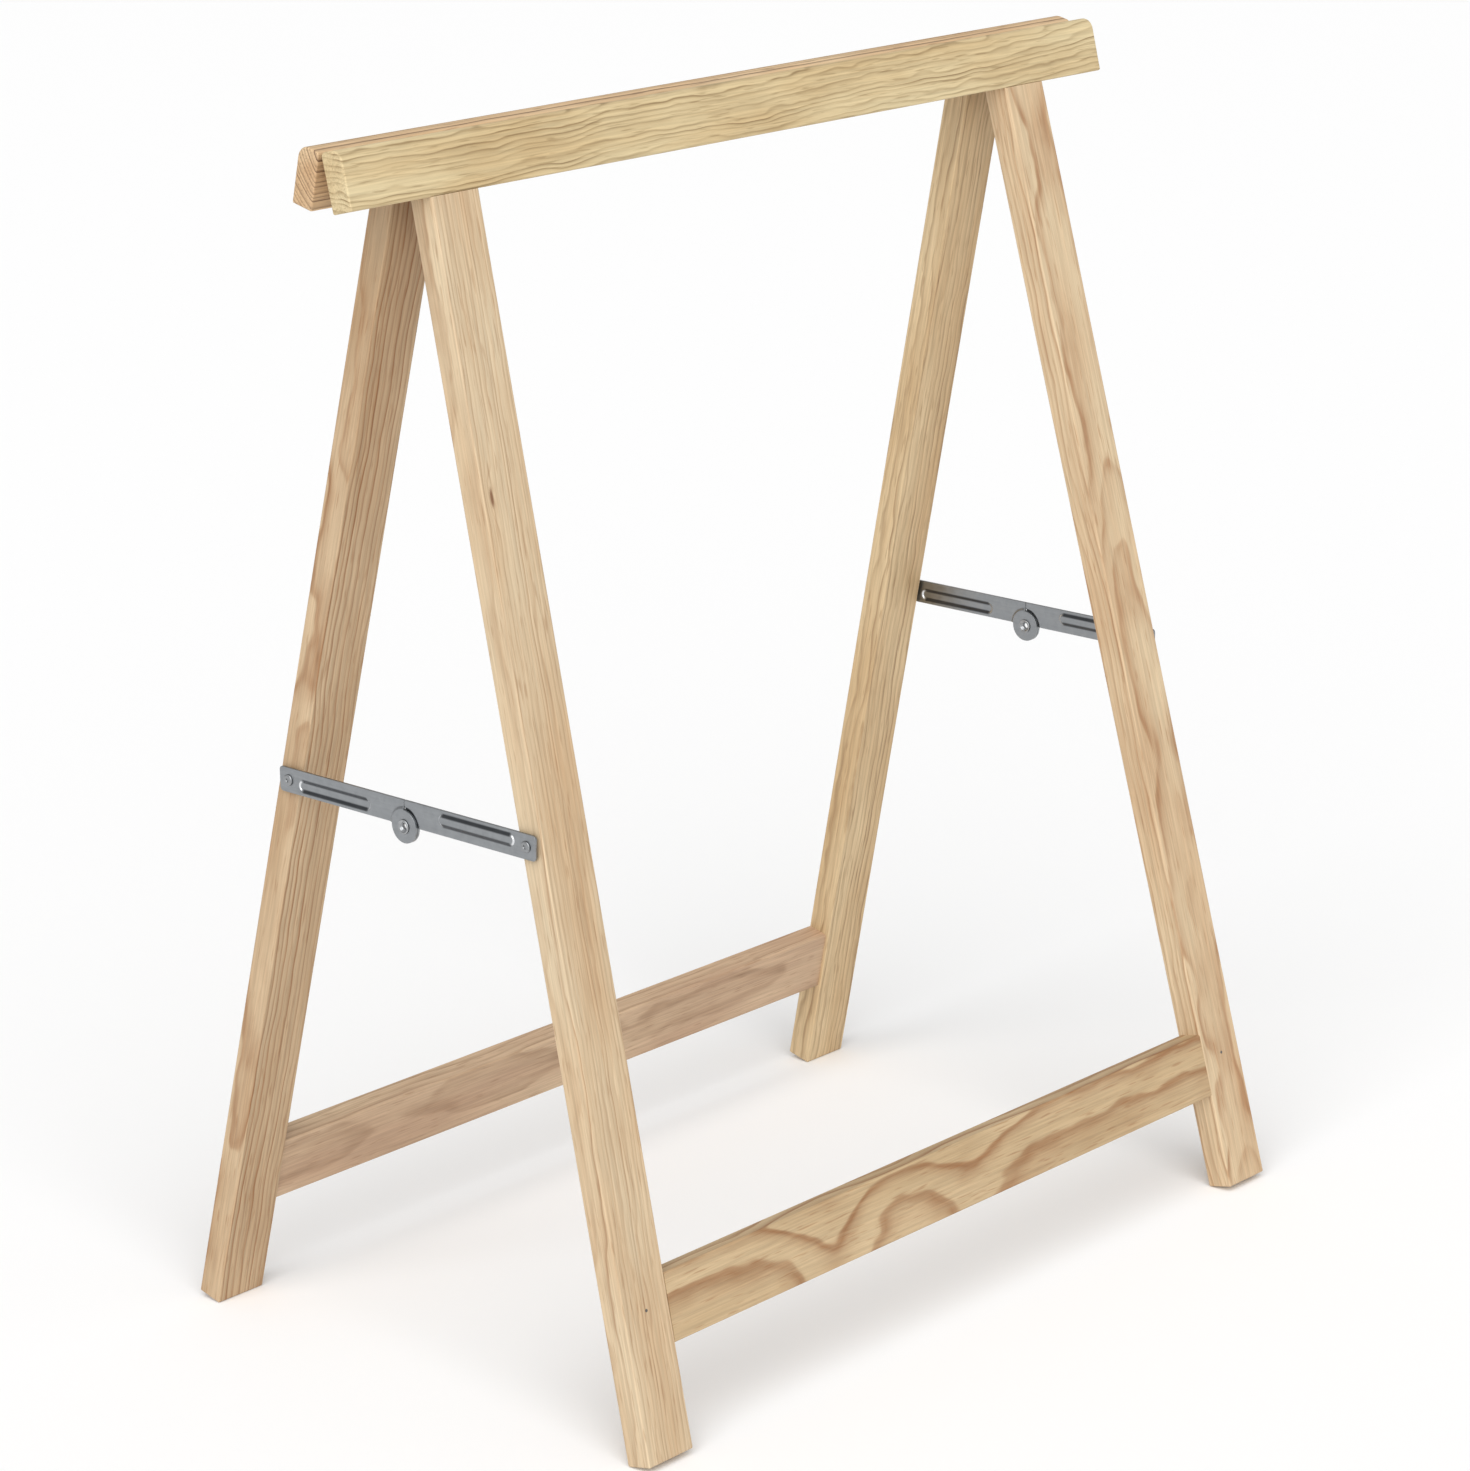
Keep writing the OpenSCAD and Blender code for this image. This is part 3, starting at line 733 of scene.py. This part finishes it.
def link_shape(rib_z):
    """One link from its knee out: a flat mesh of the blank, pressed to shape and given its thickness."""
    edge = link_outline()
    holes = [arc((0, 0), rivet_hole, 0, 360)[:-1], arc((screw_y, knee_drop), screw_hole, 0, 360)[:-1]]
    points = []
    edges = []
    for loop in [edge] + holes:
        start = len(points)
        points += loop
        edges += [(start + i, start + (i + 1) % len(loop)) for i in range(len(loop))]
    # Rows of points follow the bends, so that the rib's walls and the joggle come out clean
    for share in (0, 0.25, 0.5, 0.75, 1):
        radius = rib_crown_half_width + share * (rib_half_width - rib_crown_half_width)
        bends = round_the_rib(rib_z, radius)
        bends += arc((0, 0), joggle_start + share * (joggle_end - joggle_start), 0, 360)[:-1]
        for point in bends:
            clear = min((point - other).length for other in points) > row_spacing
            if clear and inside(point, edge):
                points.append(point)
    border = list(points)
    columns = round((bar_end + ear_radius) / mesh_step)
    rows = round((bar_high + ear_radius) / mesh_step)
    for column in range(1, columns):
        for row in range(1, rows):
            point = Vector((-ear_radius + column * mesh_step, -ear_radius + row * mesh_step))
            if min((point - other).length for other in border) > mesh_step / 2:
                if inside(point, edge) and not any(inside(point, hole) for hole in holes):
                    points.append(point)
    found, _, faces, _, _, _ = delaunay_2d_cdt(points, edges, [], 0, 1e-7)
    bm = bmesh.new()
    half = strip_thickness / 2
    sides = [
        [bm.verts.new((press_shift(p.x, p.y, rib_z) + offset, p.x, p.y)) for p in found]
        for offset in (half, -half)
    ]
    # An edge that only one triangle uses is part of the rim
    rim = {}
    for face in faces:
        middle = sum((found[i] for i in face), Vector((0, 0))) / len(face)
        if inside(middle, edge) and not any(inside(middle, hole) for hole in holes):
            bm.faces.new([sides[0][i] for i in face])
            bm.faces.new([sides[1][i] for i in reversed(face)])
            for a, b in zip(face, face[1:] + face[:1]):
                if not rim.pop((b, a), None):
                    rim[(a, b)] = True
    for a, b in rim:
        bm.faces.new((sides[0][b], sides[0][a], sides[1][a], sides[1][b]))
    bm.verts.ensure_lookup_table()
    for vertex in [vertex for vertex in bm.verts if not vertex.link_faces]:
        bm.verts.remove(vertex)
    ease_edges(bm, edge_roll)
    return bm


def pressed_strip(name, rib_z):
    """Galvanised strip, even mid grey with rolling lines along the bar. A near-black band along the long
    walls of the rib is painted shade, and a near-white band round its ends is a painted highlight."""
    material = worked_steel(name, "#9fa2a5", "#909396", 0.38, (300, 40, 700), 0.02, spangle=0.05)
    tree = material.node_tree
    shader = next(node for node in tree.nodes if node.type == "BSDF_PRINCIPLED")
    zinc = shader.inputs["Base Color"].links[0].from_socket
    place = add(tree, "ShaderNodeTexCoord", {}, {}).outputs["Object"]
    axes = add(tree, "ShaderNodeSeparateXYZ", {}, {0: place})
    across = add(tree, "ShaderNodeMath", {"operation": "SUBTRACT"}, {0: axes.outputs["Z"], 1: rib_z})
    across = add(tree, "ShaderNodeMath", {"operation": "ABSOLUTE"}, {0: across.outputs[0]})
    # How far past either end of the rib's spine
    past = add(tree, "ShaderNodeMath", {"operation": "SUBTRACT"},
               {0: axes.outputs["Y"], 1: rib_share * screw_y})
    past = add(tree, "ShaderNodeMath", {"operation": "ABSOLUTE"}, {0: past.outputs[0]})
    past = add(tree, "ShaderNodeMath", {"operation": "SUBTRACT"}, {0: past.outputs[0], 1: rib_reach})

    # Painted shade, dark from the rib's crown to the foot of its long walls, as shares of the rib's full
    # width
    wall = add(tree, "ShaderNodeMath", {"operation": "DIVIDE"},
               {0: across.outputs[0], 1: 2 * rib_half_width})
    wall = add(tree, "ShaderNodeValToRGB", {}, {"Fac": wall.outputs[0]})
    stops = wall.color_ramp.elements
    stops[0].color = stops[1].color = (0, 0, 0, 1)
    for position, value in ((0.2, 0), (0.3, 1), (0.5, 1), (0.6, 0)):
        stops.new(position).color = (value, value, value, 1)
    painted_shade_along = add(tree, "ShaderNodeMapRange", {"interpolation_type": "SMOOTHSTEP"}, {
        "Value": past.outputs[0], "From Min": -0.5 * MM, "From Max": 1.5 * MM, "To Min": 0.85, "To Max": 0})
    dark = add(tree, "ShaderNodeMath", {"operation": "MULTIPLY"},
               {0: wall.outputs[0], 1: painted_shade_along.outputs[0]})
    # Near-black painted shade on the straight walls, fading out towards the rib's ends
    base = add(tree, "ShaderNodeMix", {"data_type": "RGBA"},
               {"Factor": dark.outputs[0], 6: zinc, 7: linear_colour("#3a3c40")}).outputs[2]

    # Painted highlight, bright along the middle of the wall round each end
    beyond = add(tree, "ShaderNodeMath", {"operation": "MAXIMUM"}, {0: past.outputs[0], 1: 0})
    away = add(tree, "ShaderNodeMath", {"operation": "MULTIPLY"},
               {0: across.outputs[0], 1: across.outputs[0]})
    away = add(tree, "ShaderNodeMath", {"operation": "MULTIPLY_ADD"},
               {0: beyond.outputs[0], 1: beyond.outputs[0], 2: away.outputs[0]})
    away = add(tree, "ShaderNodeMath", {"operation": "SQRT"}, {0: away.outputs[0]})
    bend = add(tree, "ShaderNodeMath", {"operation": "COMPARE"},
               {0: away.outputs[0], 1: (rib_crown_half_width + rib_half_width) / 2, 2: 0.5 * MM})
    painted_highlight_round = add(tree, "ShaderNodeMapRange", {"interpolation_type": "SMOOTHSTEP"}, {
        "Value": past.outputs[0], "From Min": 0.8 * MM, "From Max": 2.2 * MM, "To Min": 0, "To Max": 0.9})
    bright = add(tree, "ShaderNodeMath", {"operation": "MULTIPLY"},
                 {0: bend.outputs[0], 1: painted_highlight_round.outputs[0]})
    # Near-white painted highlight on the round end walls of the rib
    base = add(tree, "ShaderNodeMix", {"data_type": "RGBA"},
               {"Factor": bright.outputs[0], 6: base, 7: linear_colour("#e6e8ea")}).outputs[2]
    tree.links.new(base, shader.inputs["Base Color"])
    return material


for own_frame, turn, rib_side in (("back", 0, -1), ("front", math.pi, 1)):
    rib_z = knee_drop + rib_side * rib_offset
    link_mesh = mesh_from(link_shape(rib_z))
    galvanised_strip = pressed_strip(own_frame + " galvanised pressed strip", rib_z)
    for world_side, side in world_sides.items():
        stay_place = Matrix.Translation((side * stay_plane_x, knee.y, knee.z))
        link_place = stay_place @ Matrix.Rotation(turn, 4, "Z")
        link = new_piece(f"{own_frame}_stay_link_{world_side}", link_mesh.copy(), link_place)
        name = f"{own_frame}_link_{world_side}"
        finish_piece(link, galvanised_strip, name, name)

# ---------------------------------------------------------------------------
# Knee rivets. A hollow steel rivet clinches the two ears of a stay together,
# with a rolled flange on both sides and a flared bore right through.
# ---------------------------------------------------------------------------

# Radius and place along the rivet in mm, round the wall: outside, far flange, bore, near flange
rivet_wall = [
    (2.5, 1.65),
    (4.2, 1.65), (4.4, 1.7), (4.5, 1.85), (4.45, 2.15), (4.25, 2.38), (3.95, 2.45), (3.6, 2.36),
    (3.0, 2.0), (2.4, 1.5), (1.95, 1.0), (1.68, 0.5), (1.6, 0), (1.68, -0.6), (1.95, -1.1), (2.4, -1.6),
    (3.0, -2.12), (3.6, -2.5), (3.95, -2.6), (4.25, -2.53), (4.45, -2.3), (4.5, -2.0), (4.4, -1.85),
    (4.2, -1.8), (2.5, -1.8),
]
along_x = Matrix.Rotation(math.pi / 2, 4, "Y")

# Zinc plated and drawn, rubbed a little brighter than the strip
rivet_steel = worked_steel("zinc plated rivet steel", "#b2b4b6", "#9a9c9e", 0.36, (400, 400, 400), 0.02)

for world_side, side in world_sides.items():
    wall = turned([(radius * MM, along * MM) for radius, along in rivet_wall], closed=True)
    rivet_place = Matrix.Translation((side * stay_plane_x, knee.y, knee.z)) @ along_x
    rivet = new_piece("hollow_knee_rivet_" + world_side, mesh_from(wall), rivet_place)
    finish_piece(rivet, rivet_steel, "front_link_" + world_side, "knee_rivet_" + world_side)

# ---------------------------------------------------------------------------
# Stay screws. A pan-head screw with a cross recess runs through each link's
# end and a thin spacer into the outer side of the leg. The back one's thread
# stays in its leg when the stay folds.
# ---------------------------------------------------------------------------

head_radius = 3.5 * MM
head_length = 1.1 * MM
# Share of the head's radius and of its length, from the rim's foot to the middle of its dome
head_curve = [
    (0.97, 0), (1, 0.06), (1, 0.4), (0.97, 0.65), (0.91, 0.82), (0.8, 0.93), (0.6, 0.98), (0.3, 1), (0, 1),
]
recess_reach = 1.9 * MM
recess_half_width = 0.42 * MM
recess_depth = 0.8 * MM
# Share of the recess's length and of its width that is left at its floor
recess_floor_length = 0.45
recess_floor_width = 0.7
recess_turn = 0.5
spacer_roll = 0.2 * MM


def recess_blade():
    """One bar of the cross recess, narrowing towards its floor, with the head's top at 0."""
    corner = Vector((recess_reach, recess_half_width, recess_depth))
    bm = block(-corner, corner)
    for vertex in bm.verts:
        if vertex.co.z < 0:
            vertex.co.x *= recess_floor_length
            vertex.co.y *= recess_floor_width
    return bm


for world_side, side in world_sides.items():
    for own_frame in frame_place:
        name = f"{own_frame}_screw_{world_side}"
        low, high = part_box(name)
        length = high.x - low.x
        shoulder = length - head_length
        outline = [(0, 0), (stay_screw_radius, 0), (stay_screw_radius, shoulder)]
        outline += [(head_radius * reach, shoulder + head_length * rise) for reach, rise in head_curve]
        root = low.x if side > 0 else high.x
        screw_place = (
            Matrix.Translation((root, (low.y + high.y) / 2, (low.z + high.z) / 2))
            @ Matrix.Rotation(side * math.pi / 2, 4, "Y")
        )
        screw = new_piece(f"{own_frame}_stay_screw_{world_side}", mesh_from(turned(outline)), screw_place)
        head_top = screw_place @ Matrix.Translation((0, 0, length))
        turns = (recess_turn, recess_turn + math.pi / 2)
        blades = [(recess_blade(), head_top @ Matrix.Rotation(turn, 4, "Z")) for turn in turns]
        combine(screw, "DIFFERENCE", blades)
        body = "front_frame" if own_frame == "front" else "back_link_" + world_side
        finish_piece(screw, screw_steel, body, name)

        name = f"{own_frame}_spacer_{world_side}"
        low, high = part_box(name)
        outer = (high.y - low.y) / 2
        thickness = high.x - low.x
        wall = [
            (screw_hole, 0), (outer - spacer_roll, 0), (outer, spacer_roll),
            (outer, thickness - spacer_roll), (outer - spacer_roll, thickness), (screw_hole, thickness),
        ]
        ring = mesh_from(turned(wall, closed=True))
        spacer_place = Matrix.Translation((low.x, (low.y + high.y) / 2, (low.z + high.z) / 2)) @ along_x
        spacer = new_piece(f"{own_frame}_stay_spacer_{world_side}", ring, spacer_place)
        finish_piece(spacer, screw_steel, body, name)
    refinish("back_screw_thread_" + world_side, screw_steel)

# ---------------------------------------------------------------------------
# Studio. A pale floor that fills the view, a very soft high key light from the
# front left and a plain white surround, as for a catalogue picture.
# ---------------------------------------------------------------------------

floor_reach = 30
floor_corners = ((-1, -1), (1, -1), (1, 1), (-1, 1))
floor_bm = bmesh.new()
floor_bm.faces.new([floor_bm.verts.new((x * floor_reach, y * floor_reach, 0)) for x, y in floor_corners])
floor = new_piece("floor", mesh_from(floor_bm), Matrix())
# Dead white and matt, so that nothing shows on it but a soft shadow
floor_paint, _, floor_shader = new_material("matt white floor paint")
floor_shader.inputs["Base Color"].default_value = linear_colour("#fafafa")
floor_shader.inputs["Roughness"].default_value = 0.9
floor.data.materials.append(floor_paint)

world = bpy.data.worlds.new("white surround")
world.use_nodes = True
world.node_tree.nodes["Background"].inputs["Color"].default_value = (1, 1, 1, 1)
world.node_tree.nodes["Background"].inputs["Strength"].default_value = 0.48
bpy.context.scene.world = world

key_azimuth = math.radians(52)
key_elevation = math.radians(42)
key = bpy.data.lights.new("soft key", "SUN")
key.energy = 2.7
key.angle = math.radians(70)
key_light = bpy.data.objects.new("soft key", key)
key_light.rotation_euler = Vector((
    math.sin(key_azimuth) * math.cos(key_elevation),
    math.cos(key_azimuth) * math.cos(key_elevation),
    -math.sin(key_elevation),
)).to_track_quat("-Z", "Y").to_euler()
bpy.context.collection.objects.link(key_light)

# The camera stands at the front left with a long lens, and looks a little down
view_azimuth = math.radians(47.12)
view_elevation = math.radians(16.65)
view_roll = math.radians(-0.95)
view_distance = 2.8347
lens_mm = 110.55
aim_point = (cad_low + cad_high) / 2 + Vector((-8.9, -5.4, -34.5)) * MM
look = Vector((
    math.sin(view_azimuth) * math.cos(view_elevation),
    math.cos(view_azimuth) * math.cos(view_elevation),
    -math.sin(view_elevation),
))
camera = bpy.data.objects.new("camera", bpy.data.cameras.new("camera"))
camera.data.lens = lens_mm
camera.data.sensor_width = 36
camera.matrix_world = (
    Matrix.Translation(aim_point - view_distance * look)
    @ look.to_track_quat("-Z", "Y").to_matrix().to_4x4()
    @ Matrix.Rotation(view_roll, 4, "Z")
)
bpy.context.collection.objects.link(camera)
bpy.context.scene.camera = camera
bpy.context.scene.view_settings.view_transform = "Standard"
